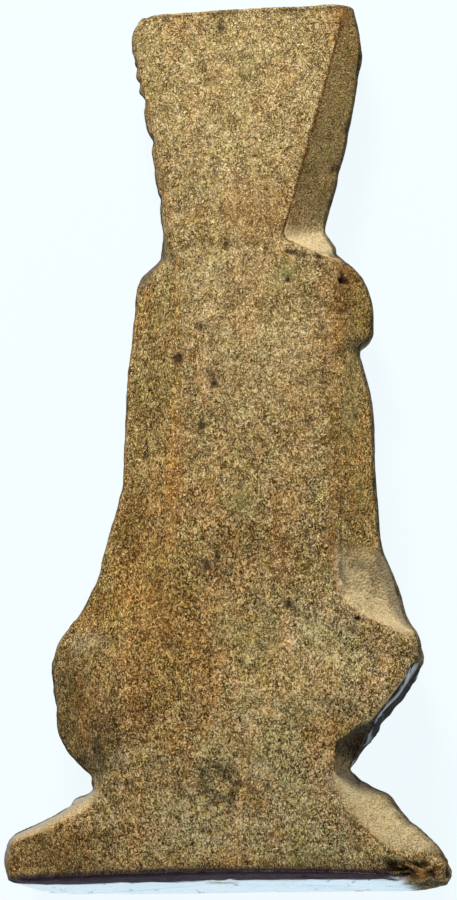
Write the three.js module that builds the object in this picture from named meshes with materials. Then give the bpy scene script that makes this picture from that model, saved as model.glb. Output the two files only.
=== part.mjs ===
// A small figurine carved from one piece, with a flaring crown and a flaring base.
// It lies on its flat hidden side. Millimetres: +Y runs to the crown, +X to the side
// with the jutting hip, +Z is up, away from the surface that it lies on.
import * as THREE from 'three';

// Driving dimensions
const crownEnd = 32.4;         // height of the crown's top above the middle of the piece
const baseEnd = -32.3;         // the underside of the base, where it meets the hidden side
const undersideTilt = 0.05;    // the underside leans in by this much for each unit of depth
const archRise = 0.7;          // the worn hollow in the middle of the base's shown edge
const archReach = 5;           // how far up the base that hollow fades out
const archHalfWidth = 16;      // and how far to each side
const archDepth = 10;          // the thickness at which it has its full rise
const crownLean = 0.03;        // the crown's top climbs by this much toward +X
const edgeWear = 0.25;         // rounding where the two ends meet the sides
const wearFade = 0.3;          // the share of that rounding left at the next ring in
const wallInset = 0.9;         // the side walls draw in toward the hidden side
const restInset = 2.3;         // bevel along the hidden side
const wallFoot = 0.3;          // where that bevel starts, as a share of the wall's height
const endInsets = [0.035, 0.1, 0.5];   // rings across each end, as shares of the way in

// The shown face: how thick the piece is at each place along its length
const faceProfile = [
  { y: 33, z: 6.5 },
  { y: 15, z: 8.5 },
  { y: 7, z: 9.5 },
  { y: -8, z: 10.9 },
  { y: -17, z: 11.4 },
  { y: -24, z: 11.0 },
  { y: -33, z: 10.3 },
];

// Stations from the crown to the base. The four lines that run along the shown side are
// the left outline, the left ridge, the right ridge and the right outline, each x, y.
// drop is how far the left outline, both ridges and the right outline lie below the face,
// soft is the rounding of the ridges, hollow is how deep the right facet is scooped, and
// ease is the share of the way to the next station over which the lines bend. flare is how
// far the foot of the right wall stands out, where it is more upright than elsewhere.
const stations = [
  { at: 'crown top', left: [-6.2, 32.4], leftRidge: [-5.6, 32.4], rightRidge: [8.8, 32.4],
    right: [9.4, 32.4], drop: [0.7, 0.15, 0.1, 1.2], soft: 0.3, hollow: 0, ease: 0.1 },
  { at: 'crown corner', left: [-7.15, 31.2], leftRidge: [-6.6, 31.0], rightRidge: [8.6, 31.0],
    right: [9.9, 30.4], drop: [0.9, 0.15, 0.1, 1.7], soft: 0.3, hollow: 0, ease: 0.35 },
  { at: 'crown', left: [-7.2, 29.2], leftRidge: [-6.6, 29.2], rightRidge: [8.1, 28.8],
    right: [9.9, 28.4], drop: [0.9, 0.15, 0.1, 2.2], soft: 0.3, hollow: 0, ease: 0.45 },
  { at: 'lower crown', left: [-5.65, 22.3], leftRidge: [-4.95, 22.3], rightRidge: [6.3, 22.0],
    right: [8.75, 22.0], drop: [1.15, 0.15, 0.1, 2.9], soft: 0.3, hollow: 0, ease: 0.45 },
  { at: 'neck', left: [-4.7, 15.4], leftRidge: [-3.8, 15.2], rightRidge: [4.5, 15.2],
    right: [7.2, 16.1], drop: [1.4, 0.15, 0.1, 3.6], soft: 0.3, hollow: 0, ease: 0.1 },
  { at: 'shoulder', left: [-5.0, 14.0], leftRidge: [-3.3, 13.5], rightRidge: [8.5, 13.5],
    right: [8.8, 13.8], drop: [2.3, 0.15, 0.1, 1.5], soft: 0.4, hollow: 0, ease: 0.15 },
  { at: 'upper arm', left: [-6.8, 12.6], leftRidge: [-3.2, 12.2], rightRidge: [9.0, 12.4],
    right: [10.3, 12.4], drop: [3.0, 0.2, 0.2, 2.9], soft: 0.6, hollow: 0, ease: 0.4 },
  { at: 'arm', left: [-7.05, 10.2], leftRidge: [-3.2, 9.8], rightRidge: [8.6, 10.1],
    right: [11.0, 10.2], drop: [3.1, 0.2, 0.2, 3.3], soft: 0.8, hollow: 0, ease: 0.4 },
  { at: 'arm end', left: [-7.1, 8.2], leftRidge: [-3.2, 7.8], rightRidge: [8.5, 7.7],
    right: [10.9, 8.1], drop: [3.2, 0.2, 0.2, 3.5], soft: 0.9, hollow: 0, ease: 0.3 },
  { at: 'waist', left: [-7.25, 7.0], leftRidge: [-3.2, 6.4], rightRidge: [8.6, 6.4],
    right: [9.75, 7.1], drop: [3.2, 0.2, 0.2, 3.3], soft: 0.9, hollow: 0, ease: 0.3 },
  { at: 'robe', left: [-7.45, 2.8], leftRidge: [-3.2, 2.4], rightRidge: [8.6, 2.4],
    right: [11.1, 2.5], drop: [3.2, 0.2, 0.2, 3.2], soft: 1.0, hollow: 0, ease: 0.45 },
  { at: 'lower robe', left: [-7.55, -2.5], leftRidge: [-3.2, -2.8], rightRidge: [8.6, -2.8],
    right: [11.2, -2.6], drop: [3.2, 0.2, 0.2, 3.2], soft: 1.0, hollow: 0, ease: 0.45 },
  { at: 'scoop top', left: [-8.65, -6.8], leftRidge: [-3.4, -7.1], rightRidge: [8.6, -7.7],
    right: [11.6, -7.4], drop: [3.2, 0.2, 0.2, 3.5], soft: 0.7, hollow: 0.2, ease: 0.2 },
  { at: 'scoop', left: [-9.5, -9.7], leftRidge: [-4.3, -10.0], rightRidge: [8.9, -11.1],
    right: [12.8, -10.3], drop: [3.4, 0.2, 0.2, 3.9], soft: 0.5, hollow: 0.7, ease: 0.45 },
  { at: 'scoop foot', left: [-10.7, -12.1], leftRidge: [-5.4, -12.5], rightRidge: [10.6, -12.7],
    right: [13.4, -12.7], drop: [3.8, 0.3, 0.2, 4.0], soft: 0.5, hollow: 0.6, ease: 0.45 },
  { at: 'hip', left: [-12.65, -14.2], leftRidge: [-6.7, -14.5], rightRidge: [13.6, -14.1],
    right: [14.55, -13.9], drop: [4.4, 0.4, 0.3, 2.5], soft: 0.5, hollow: 0.1, ease: 0.4 },
  { at: 'hip tip', left: [-13.05, -16.1], leftRidge: [-7.5, -16.1], rightRidge: [15.0, -15.8],
    right: [15.2, -15.7], drop: [4.9, 0.4, 0.6, 1.4], soft: 0.4, hollow: 0, ease: 0.3, flare: 0.2 },
  { at: 'under the hip', left: [-12.75, -18.1], leftRidge: [-8.0, -18.2], rightRidge: [13.2, -18.2],
    right: [13.25, -18.0], drop: [5.0, 0.4, 0.2, 1.6], soft: 0.3, hollow: 0, ease: 0.3, flare: 0.7 },
  { at: 'hollow', left: [-12.55, -20.6], leftRidge: [-8.3, -20.4], rightRidge: [11.4, -20.2],
    right: [11.45, -19.9], drop: [4.7, 0.4, 0.2, 2.2], soft: 0.3, hollow: 0, ease: 0.25, flare: 0.7 },
  { at: 'undercut', left: [-11.65, -22.3], leftRidge: [-8.3, -22.2], rightRidge: [8.9, -21.9],
    right: [10.35, -21.6], drop: [4.0, 0.4, 0.2, 4.9], soft: 0.3, hollow: 0.4, ease: 0.25, flare: 0.6 },
  { at: 'notch', left: [-9.7, -24.1], leftRidge: [-8.3, -24.2], rightRidge: [8.5, -23.9],
    right: [9.1, -23.7], drop: [3.2, 0.5, 0.2, 5.2], soft: 0.3, hollow: 0.2, ease: 0.15, flare: 0.3 },
  { at: 'base shoulder', left: [-10.2, -25.5], leftRidge: [-8.9, -26.3], rightRidge: [9.3, -26.7],
    right: [11.7, -25.5], drop: [2.5, 0.6, 0.2, 4.0], soft: 0.4, hollow: 0.1, ease: 0.3 },
  { at: 'ledge', left: [-12.2, -26.8], leftRidge: [-11.4, -27.5], rightRidge: [11.2, -28.6],
    right: [13.9, -27.5], drop: [2.6, 0.7, 0.3, 3.2], soft: 0.4, hollow: 0.1, ease: 0.4 },
  { at: 'ledge end', left: [-16.0, -28.4], leftRidge: [-15.1, -29.0], rightRidge: [13.1, -30.3],
    right: [15.9, -29.3], drop: [3.1, 1.0, 0.6, 2.8], soft: 0.4, hollow: 0, ease: 0.3 },
  { at: 'base edge', left: [-16.45, -30.5], leftRidge: [-15.6, -30.6], rightRidge: [14.9, -31.0],
    right: [16.8, -30.9], drop: [3.5, 1.3, 0.9, 3.0], soft: 0.5, hollow: 0, ease: 0.4 },
  { at: 'underside', left: [-15.9, -32.2], leftRidge: [-15.3, -32.2], rightRidge: [15.2, -32.2],
    right: [16.6, -32.2], drop: [3.6, 1.5, 1.1, 3.0], soft: 0.5, hollow: 0, ease: 0.1 },
];

// Height of the shown face at a place y along the length, by straight runs between the profile's points
function faceHeight(y) {
  const next = faceProfile.findIndex((point) => point.y <= y);
  if (next === 0) return faceProfile[0].z;
  if (next < 0) return faceProfile[faceProfile.length - 1].z;
  const above = faceProfile[next - 1];
  const below = faceProfile[next];
  return THREE.MathUtils.mapLinear(y, above.y, below.y, above.z, below.z);
}

// The eight corners of the section at a station, in order around the piece: the shown face's
// two ridges, then down the right wall, across the hidden side and up the left wall
function sectionCorners(station) {
  const lines = [station.left, station.leftRidge, station.rightRidge, station.right];
  const [left, leftRidge, rightRidge, right] = lines.map(([x, y], line) => (
    new THREE.Vector3(x, y, faceHeight(y) - station.drop[line])));
  const flare = station.flare ?? 0;
  const foot = (top, inset) => new THREE.Vector3(top.x - inset, top.y, top.z * wallFoot);
  const rest = (top, inset) => new THREE.Vector3(top.x - inset, top.y, 0);
  return [leftRidge, rightRidge, right, foot(right, wallInset - flare), rest(right, restInset - flare),
    rest(left, -restInset), foot(left, -wallInset), left];
}

// A corner point eased by a quadratic arc: it leaves the line to the point before it at
// the share before, and joins the line to the point after it at the share after
function arcPoint(previous, corner, following, before, after, t) {
  const start = corner.clone().lerp(previous, before);
  const end = corner.clone().lerp(following, after);
  return start.multiplyScalar((1 - t) ** 2)
    .addScaledVector(corner, 2 * t * (1 - t))
    .addScaledVector(end, t ** 2);
}

// Corner frames along the length: each station is eased into its neighbours
function frames() {
  const corners = stations.map(sectionCorners);
  const list = [{ corners: corners[0], soft: stations[0].soft, hollow: 0 }];
  for (let i = 1; i < stations.length - 1; i += 1) {
    const { soft, hollow, ease } = stations[i];
    for (const t of [0, 0.5, 1]) {
      list.push({
        corners: corners[i].map((corner, k) => (
          arcPoint(corners[i - 1][k], corner, corners[i + 1][k], ease, ease, t))),
        soft,
        hollow,
      });
    }
  }
  const last = stations.length - 1;
  list.push({ corners: corners[last], soft: stations[last].soft, hollow: 0 });
  return list;
}

const outlineSoft = 0.45;      // rounding of the left and right outlines
const wallSoft = 0.9;          // rounding of the walls' feet and of the bevel on the hidden side
const faceSwell = 0.18;        // the shown face stands proud by this much in its middle
const wallSwell = 0.06;        // and the walls by this much
const largestEase = 0.42;      // so that neighbouring arcs never meet
const arcSteps = [0, 0.5, 1];
const sidePoints = [3, 1, 1, 1, 3, 1, 1, 1];   // points on each side of the section, between its arcs

// One ring of points round a frame: each corner is an arc, each side has points between its
// arcs, pushed out from the side's straight line by a swell or in by a hollow
function ring({ corners, soft, hollow }) {
  const swells = [faceSwell, -hollow, wallSwell, 0, 0, 0, wallSwell, 0];
  const rounding = [soft, soft, outlineSoft, wallSoft, wallSoft, wallSoft, wallSoft, outlineSoft];
  const count = corners.length;
  const points = [];
  corners.forEach((corner, k) => {
    const previous = corners[(k + count - 1) % count];
    const following = corners[(k + 1) % count];
    const before = Math.min(largestEase, rounding[k] / corner.distanceTo(previous));
    const after = Math.min(largestEase, rounding[k] / corner.distanceTo(following));
    for (const t of arcSteps) {
      points.push(arcPoint(previous, corner, following, before, after, t));
    }
    const nextRounding = rounding[(k + 1) % count];
    const stop = 1 - Math.min(largestEase, nextRounding / corner.distanceTo(following));
    const out = new THREE.Vector3(corner.z - following.z, 0, following.x - corner.x).normalize();
    for (let n = 1; n <= sidePoints[k]; n += 1) {
      const t = THREE.MathUtils.lerp(after, stop, n / (sidePoints[k] + 1));
      const swell = swells[k] * 4 * t * (1 - t);
      points.push(corner.clone().lerp(following, t).addScaledVector(out, swell));
    }
  });
  return points;
}

// The crown's top climbs over x, and the base's underside is a plane leaning over z
const crownHeight = (point) => crownEnd + crownLean * point.x;
const undersideHeight = (point) => baseEnd + undersideTilt * point.z;

// The worn hollow lifts the base's shown edge: most in its middle, and fading up the base,
// to both sides and quickly toward the hidden side
function liftByHollow(point) {
  const across = Math.max(0, 1 - (point.x / archHalfWidth) ** 2);
  const along = THREE.MathUtils.smoothstep(-point.y, -baseEnd - archReach, -baseEnd);
  point.y += archRise * across * along * (point.z / archDepth) ** 4;
}

// Rings across an end, drawn in toward its middle; the worn edge sinks the outer two
function endRings(rim, endHeight, inward) {
  const middle = rim.reduce((sum, p) => sum.add(p), new THREE.Vector3()).divideScalar(rim.length);
  const rings = [0, ...endInsets].map((inset, n) => rim.map((p) => {
    const point = p.clone().lerp(middle, inset);
    const wear = [edgeWear, edgeWear * wearFade][n] ?? 0;
    point.y = endHeight(point) + inward * wear;
    return point;
  }));
  middle.y = endHeight(middle);
  return { rings, middle };
}

// The closed skin: rings from the middle of the crown's top to the middle of the underside
function figurineGeometry() {
  const sides = frames().map(ring);
  const crown = endRings(sides[0], crownHeight, -1);
  const base = endRings(sides[sides.length - 1], undersideHeight, 1);
  const rings = [...crown.rings.reverse(), ...sides.slice(1, -1), ...base.rings];
  const around = rings[0].length;
  const points = [...rings.flat(), crown.middle, base.middle];
  points.forEach(liftByHollow);
  const crownMiddle = points.length - 2;
  const baseMiddle = points.length - 1;
  const index = [];
  for (let k = 0; k < around; k += 1) {
    const next = (k + 1) % around;
    index.push(crownMiddle, k, next);
    for (let i = 0; i < rings.length - 1; i += 1) {
      const upper = i * around;
      const lower = upper + around;
      index.push(upper + k, lower + k, lower + next, upper + k, lower + next, upper + next);
    }
    const lastRing = (rings.length - 1) * around;
    index.push(lastRing + k, baseMiddle, lastRing + next);
  }
  const geometry = new THREE.BufferGeometry();
  geometry.setAttribute('position', new THREE.Float32BufferAttribute(
    points.flatMap((p) => p.toArray()), 3));
  geometry.setIndex(index);
  geometry.computeVertexNormals();
  return geometry;
}

const stone = new THREE.MeshStandardMaterial({ color: 0x8a7048, roughness: 0.8, metalness: 0 });
const figurine = new THREE.Mesh(figurineGeometry(), stone);
figurine.name = 'figurine';

const model = new THREE.Group();
model.add(figurine);

export default model;
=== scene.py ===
import math

import bpy
import numpy as np
from mathutils import Matrix, Vector


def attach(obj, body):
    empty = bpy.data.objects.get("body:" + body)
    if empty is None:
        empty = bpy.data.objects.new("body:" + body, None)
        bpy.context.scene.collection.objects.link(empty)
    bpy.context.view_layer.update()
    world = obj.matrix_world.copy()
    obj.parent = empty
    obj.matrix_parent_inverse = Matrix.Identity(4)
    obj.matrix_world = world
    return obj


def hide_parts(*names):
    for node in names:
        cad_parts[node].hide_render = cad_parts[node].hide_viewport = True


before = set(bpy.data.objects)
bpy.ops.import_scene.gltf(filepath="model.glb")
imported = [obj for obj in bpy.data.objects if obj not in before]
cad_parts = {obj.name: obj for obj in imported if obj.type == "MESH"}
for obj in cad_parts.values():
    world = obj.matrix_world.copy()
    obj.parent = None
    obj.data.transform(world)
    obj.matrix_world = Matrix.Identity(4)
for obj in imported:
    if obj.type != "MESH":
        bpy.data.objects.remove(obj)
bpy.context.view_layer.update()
millimetre = 0.001

# The camera looks down on the figurine, a little from the hip's side and from below the base
cameraView = {
    "distance": 650,  # mm from the middle of the figurine
    "towardHip": 9,  # degrees off the vertical, toward +X
    "towardBase": 6,  # degrees off the vertical, toward -Y
    "lookHeight": 5,  # mm above the floor
    "pixelSize": 0.0734,  # mm that one pixel spans at the figurine
    "sensor": 36,  # mm along the picture's long side
    "picture": (457, 900),  # pixels
    "nearest": 0.01,  # metres, the closest that shows
}


def makeCamera(view):
    # A long lens: its length is the distance over the width that the picture takes in
    back = Vector((math.tan(math.radians(view["towardHip"])),
                   -math.tan(math.radians(view["towardBase"])), 1)).normalized()
    look = Vector((0, 0, view["lookHeight"])) * millimetre
    right = Vector((0, 1, 0)).cross(back).normalized()
    up = back.cross(right)
    data = bpy.data.cameras.new("camera")
    data.sensor_width = view["sensor"]
    data.lens = view["sensor"] * view["distance"] / (max(view["picture"]) * view["pixelSize"])
    data.clip_start = view["nearest"]
    camera = bpy.data.objects.new("camera", data)
    turn = Matrix((right, up, back)).transposed().to_4x4()
    camera.matrix_world = Matrix.Translation(look + back * view["distance"] * millimetre) @ turn
    bpy.context.collection.objects.link(camera)
    bpy.context.scene.camera = camera


makeCamera(cameraView)
print("camera set")

# The floor glows a little, so that it stays nearly white beside the stone
floorLook = {
    "halfSize": 1500,  # mm
    "color": (0.04, 0.04, 0.04, 1),
    "glow": (0.86, 0.94, 0.97, 1),
    "glowStrength": 1.0,
    "roughness": 0.6,
    "specular": 0.0,
}

studio = {
    "key": {"place": (-15, 190, 150), "aim": (0, 5, 8), "size": (70, 70),  # mm
            "power": 0.95, "color": (1.0, 0.965, 0.91)},  # watts
    "footFill": {"place": (10, -260, 10), "aim": (0, -32, 6), "size": (80, 16),
                 "power": 0.66, "color": (0.80, 0.92, 1.0)},
    "worldColor": (1.0, 0.97, 0.93, 1),
    "worldStrength": 0.22,
}


def makeFloor(look):
    # A flat square round the origin, at the height of 0
    half = look["halfSize"] * millimetre
    mesh = bpy.data.meshes.new("floor")
    mesh.from_pydata([(-half, -half, 0), (half, -half, 0), (half, half, 0), (-half, half, 0)],
                     [], [(0, 1, 2, 3)])
    floor = bpy.data.objects.new("floor", mesh)
    bpy.context.collection.objects.link(floor)
    material = bpy.data.materials.new("pale floor")
    material.use_nodes = True
    shader = material.node_tree.nodes["Principled BSDF"]
    shader.inputs["Base Color"].default_value = look["color"]
    shader.inputs["Roughness"].default_value = look["roughness"]
    shader.inputs["Specular IOR Level"].default_value = look["specular"]
    shader.inputs["Emission Color"].default_value = look["glow"]
    shader.inputs["Emission Strength"].default_value = look["glowStrength"]
    mesh.materials.append(material)


def makeLights(look):
    # A soft lamp beyond the crown, and a low one that skims the floor toward the base's underside
    for name in ("key", "footFill"):
        lamp = look[name]
        data = bpy.data.lights.new(name, "AREA")
        data.shape = "RECTANGLE"
        data.size = lamp["size"][0] * millimetre
        data.size_y = lamp["size"][1] * millimetre
        data.energy = lamp["power"]
        data.color = lamp["color"]
        light = bpy.data.objects.new(name, data)
        light.location = Vector(lamp["place"]) * millimetre
        away = (Vector(lamp["place"]) - Vector(lamp["aim"])).normalized()
        light.rotation_euler = away.to_track_quat("Z", "Y").to_euler()
        bpy.context.collection.objects.link(light)
    world = bpy.data.worlds.new("studio")
    world.use_nodes = True
    sky = world.node_tree.nodes["Background"]
    sky.inputs["Color"].default_value = look["worldColor"]
    sky.inputs["Strength"].default_value = look["worldStrength"]
    bpy.context.scene.world = world


makeFloor(floorLook)
makeLights(studio)
bpy.context.scene.view_settings.view_transform = "Standard"
print("floor and lights set")

# The figurine's form, in millimetres: the same lines as the solid's
form = {
    "crownEnd": 32.4,  # height of the crown's top above the middle of the piece
    "baseEnd": -32.3,  # the underside of the base, where it meets the hidden side
    "undersideTilt": 0.05,  # the underside leans in by this much for each unit of depth
    "crownLean": 0.03,  # the crown's top climbs by this much toward +X
    "archRise": 0.7,  # worn hollow in the middle of the base's shown edge
    "archReach": 5,  # how far up the base that hollow fades out
    "archHalfWidth": 16,  # and how far to each side
    "archDepth": 10,  # the thickness at which it has its full rise
    "edgeWear": 0.25,  # rounding where the two ends meet the sides
    "wearShare": 0.1,  # how far in across an end that rounding goes, as a share
    "wallInset": 0.9,  # the side walls draw in toward the hidden side
    "restInset": 2.3,  # bevel along the hidden side
    "wallFoot": 0.3,  # where that bevel starts, as a share of the wall's height
    "outlineSoft": 0.45,  # rounding of the left and right outlines
    "wallSoft": 0.9,  # rounding of the walls' feet and of the bevel
    "largestEase": 0.42,  # so that neighbouring arcs never meet
    "swells": (0.18, 0, 0.06, 0, 0, 0, 0.06, 0),  # how far each side stands proud
    "faceY": (-33, -24, -17, -8, 7, 15, 33),  # places along the length
    "faceZ": (10.3, 11.0, 11.4, 10.9, 9.5, 8.5, 6.5),  # and how thick the piece is there
}

# Stations from the crown to the base: left outline, left ridge, right ridge and right outline
# as x, y, then how far each lies below the face, and then the ridges' rounding, the depth of
# the right facet's scoop, and the share of the way over which the lines bend
stations = {
    "crown top": ((-6.2, 32.4), (-5.6, 32.4), (8.8, 32.4), (9.4, 32.4),
        (0.7, 0.15, 0.1, 1.2), 0.16, 0, 0.1),
    "crown corner": ((-7.15, 31.2), (-6.6, 31.0), (8.6, 31.0), (9.9, 30.4),
        (0.9, 0.15, 0.1, 1.7), 0.16, 0, 0.35),
    "crown": ((-7.2, 29.2), (-6.6, 29.2), (8.1, 28.8), (9.9, 28.4),
        (0.9, 0.15, 0.1, 2.2), 0.16, 0, 0.45),
    "lower crown": ((-5.65, 22.3), (-4.95, 22.3), (6.3, 22.0), (8.75, 22.0),
        (1.15, 0.15, 0.1, 2.9), 0.16, 0, 0.45),
    "neck": ((-4.7, 15.4), (-3.8, 15.2), (4.5, 15.2), (7.2, 16.1),
        (1.4, 0.15, 0.1, 3.6), 0.16, 0, 0.1),
    "shoulder": ((-5.0, 14.0), (-3.3, 13.5), (8.5, 13.5), (8.8, 13.8),
        (2.3, 0.15, 0.1, 1.5), 0.4, 0, 0.15),
    "upper arm": ((-6.8, 12.6), (-3.2, 12.2), (9.0, 12.4), (10.3, 12.4),
        (3.0, 0.2, 0.2, 2.9), 0.6, 0, 0.4),
    "arm": ((-7.05, 10.2), (-3.2, 9.8), (8.6, 10.1), (11.0, 10.2),
        (3.1, 0.2, 0.2, 3.3), 0.8, 0, 0.4),
    "arm end": ((-7.1, 8.2), (-3.2, 7.8), (8.5, 7.7), (10.9, 8.1),
        (3.2, 0.2, 0.2, 3.5), 0.9, 0, 0.3),
    "waist": ((-7.25, 7.0), (-3.2, 6.4), (8.6, 6.4), (9.75, 7.1),
        (3.2, 0.2, 0.2, 3.3), 0.9, 0, 0.3),
    "robe": ((-7.45, 2.8), (-3.2, 2.4), (8.6, 2.4), (11.1, 2.5),
        (3.2, 0.2, 0.2, 3.2), 1.0, 0, 0.45),
    "lower robe": ((-7.55, -2.5), (-3.2, -2.8), (8.6, -2.8), (11.2, -2.6),
        (3.2, 0.2, 0.2, 3.2), 1.0, 0, 0.45),
    "scoop top": ((-8.65, -6.8), (-3.4, -7.1), (8.6, -7.7), (11.6, -7.4),
        (3.2, 0.2, 0.2, 3.5), 0.7, 0.2, 0.2),
    "scoop": ((-9.5, -9.7), (-4.3, -10.0), (8.9, -11.1), (12.8, -10.3),
        (3.4, 0.2, 0.2, 3.9), 0.5, 0.7, 0.45),
    "scoop foot": ((-10.7, -12.1), (-5.4, -12.5), (10.6, -12.7), (13.4, -12.7),
        (3.8, 0.3, 0.2, 4.0), 0.5, 0.6, 0.45),
    "hip": ((-12.65, -14.2), (-6.7, -14.5), (13.6, -14.1), (14.55, -13.9),
        (4.4, 0.4, 0.3, 2.5), 0.5, 0.1, 0.4),
    "hip tip": ((-13.05, -16.1), (-7.5, -16.1), (15.0, -15.8), (15.2, -15.7),
        (4.9, 0.4, 0.6, 1.4), 0.4, 0, 0.3),
    "under the hip": ((-12.75, -18.1), (-8.0, -18.2), (13.2, -18.2), (13.25, -18.0),
        (5.0, 0.4, 0.2, 1.6), 0.3, 0, 0.3),
    "hollow": ((-12.55, -20.6), (-8.3, -20.4), (11.4, -20.2), (11.45, -19.9),
        (4.7, 0.4, 0.2, 2.2), 0.3, 0, 0.25),
    "undercut": ((-11.65, -22.3), (-8.3, -22.2), (8.9, -21.9), (10.35, -21.6),
        (4.0, 0.4, 0.2, 4.9), 0.3, 0.4, 0.25),
    "notch": ((-9.7, -24.1), (-8.3, -24.2), (8.5, -23.9), (9.1, -23.7),
        (3.2, 0.5, 0.2, 5.2), 0.3, 0.2, 0.15),
    "base shoulder": ((-10.2, -25.5), (-8.9, -26.3), (9.3, -26.7), (11.7, -25.5),
        (2.5, 0.6, 0.2, 4.0), 0.4, 0.1, 0.3),
    "ledge": ((-12.2, -26.8), (-11.4, -27.5), (11.2, -28.6), (13.9, -27.5),
        (2.6, 0.7, 0.3, 3.2), 0.4, 0.1, 0.4),
    "ledge end": ((-16.0, -28.4), (-15.1, -29.0), (13.1, -30.3), (15.9, -29.3),
        (3.1, 1.0, 0.6, 2.8), 0.4, 0, 0.3),
    "base edge": ((-16.45, -30.5), (-15.6, -30.6), (14.9, -31.0), (16.8, -30.9),
        (3.5, 1.3, 0.9, 3.0), 0.5, 0, 0.4),
    "underside": ((-15.9, -32.2), (-15.3, -32.2), (15.2, -32.2), (16.6, -32.2),
        (3.6, 1.5, 1.1, 3.0), 0.5, 0, 0.1),
}

# How far the foot of the right wall stands out, where it is more upright than elsewhere
flares = {"hip tip": 0.0, "under the hip": 0.7, "hollow": 0.7, "undercut": 0.6, "notch": 0.3}

# How finely the skin is worked: rows along the length, then points on each of the section's
# eight arcs and eight sides, going from the shown face down the right wall and back up the left
fineness = {
    "rows": 372,
    "endRings": 18,
    "arcs": (6, 6, 7, 4, 4, 4, 4, 7),
    "sides": (82, 20, 10, 8, 18, 8, 10, 26),
    "firstRow": 0.3,  # the rows begin this far past the first station, and end this
    "lastRow": 0.35,  # far before the last, as shares of the way between two stations
    "placesTried": 6000,  # along the length, to find even steps
    "endShare": 1.6,  # the power that crowds an end's rings toward its rim
}


def smoothStep(low, high, value):
    # Rises smoothly from 0 at low to 1 at high
    t = np.clip((value - low) / (high - low), 0, 1)
    return t * t * (3 - 2 * t)


def latticeNoise(points, size, seed):
    # Random values from -1 to 1 at the corners of a cubic lattice of the given size, blended by
    # the eased place in each cell. Large odd numbers scramble a corner's place into its value
    places = points / np.asarray(size, float)
    cell = np.floor(places).astype(np.int64)
    ease = places - cell
    ease = ease * ease * (3 - 2 * ease)
    total = np.zeros(points.shape[:-1])
    for corner in np.ndindex(2, 2, 2):
        node = cell + np.array(corner)
        mixed = (node[..., 0] * 73856093) ^ (node[..., 1] * 19349663) ^ (node[..., 2] * 83492791)
        mixed = (mixed + seed * 2654435761) & 0xFFFFFFFF
        mixed = ((mixed ^ (mixed >> 15)) * 2246822519) & 0xFFFFFFFF
        mixed = ((mixed ^ (mixed >> 13)) * 3266489917) & 0xFFFFFFFF
        mixed = mixed ^ (mixed >> 16)
        weight = np.prod(np.where(np.array(corner) == 1, ease, 1 - ease), axis=-1)
        total += weight * (mixed / 0x7FFFFFFF - 1)
    return total


def sectionCorners():
    # The eight corners of the section at every station: the shown face's two ridges, the right
    # outline, the wall's foot and the bevel's edge on the right, and the same back on the left
    rows = list(stations.values())
    lines = np.array([row[:4] for row in rows], float)
    drops = np.array([row[4] for row in rows], float)
    height = np.interp(lines[..., 1], form["faceY"], form["faceZ"]) - drops
    left, leftRidge, rightRidge, right = (
        np.dstack([lines[:, k, 0], lines[:, k, 1], height[:, k]])[0] for k in range(4))

    flare = np.array([(flares.get(name, 0), 0, 0) for name in stations])
    inward = np.array([1.0, 0, 0])

    def foot(top, side):
        return top * (1, 1, form["wallFoot"]) - side * form["wallInset"] * inward

    def rest(top, side):
        return top * (1, 1, 0) - side * form["restInset"] * inward

    corners = [leftRidge, rightRidge, right, foot(right, 1) + flare, rest(right, 1) + flare,
               rest(left, -1), foot(left, -1), left]
    return np.stack(corners, axis=1)


def arcPoints(previous, corner, following, before, after, t):
    # Quadratic arc that leaves the line to the previous point at the share before, and joins
    # the line to the following point at the share after
    start = corner + (previous - corner) * before
    end = corner + (following - corner) * after
    return start * (1 - t) ** 2 + corner * 2 * t * (1 - t) + end * t ** 2


def alongLength(places):
    # The eight lines at each place along the length, where a whole number is a station:
    # straight between stations, and on a station's arc within its ease
    corners = sectionCorners()
    rows = list(stations.values())
    ease = np.array([row[7] for row in rows])
    nearest = np.clip(np.round(places).astype(int), 1, len(rows) - 2)
    offset = places - nearest
    reach = ease[nearest]
    t = np.clip((offset + reach) / (2 * reach), 0, 1)[:, None, None]
    share = reach[:, None, None]
    bent = arcPoints(corners[nearest - 1], corners[nearest], corners[nearest + 1], share, share, t)
    lower = np.clip(np.floor(places).astype(int), 0, len(rows) - 2)
    fraction = (places - lower)[:, None, None]
    straight = corners[lower] * (1 - fraction) + corners[lower + 1] * fraction
    return np.where((np.abs(offset) < reach)[:, None, None], bent, straight)


def evenPlaces():
    # Places along the length with even steps in millimetres, by the longest of the lines' steps
    last = len(stations) - 1 - fineness["lastRow"]
    fine = np.linspace(fineness["firstRow"], last, fineness["placesTried"])
    lines = alongLength(fine)
    step = np.linalg.norm(np.diff(lines[:, [0, 1, 2, 7]], axis=0), axis=-1).mean(axis=1)
    travelled = np.concatenate([[0], np.cumsum(step)])
    wanted = np.linspace(0, travelled[-1], fineness["rows"])
    return np.interp(wanted, travelled, fine)


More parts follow.
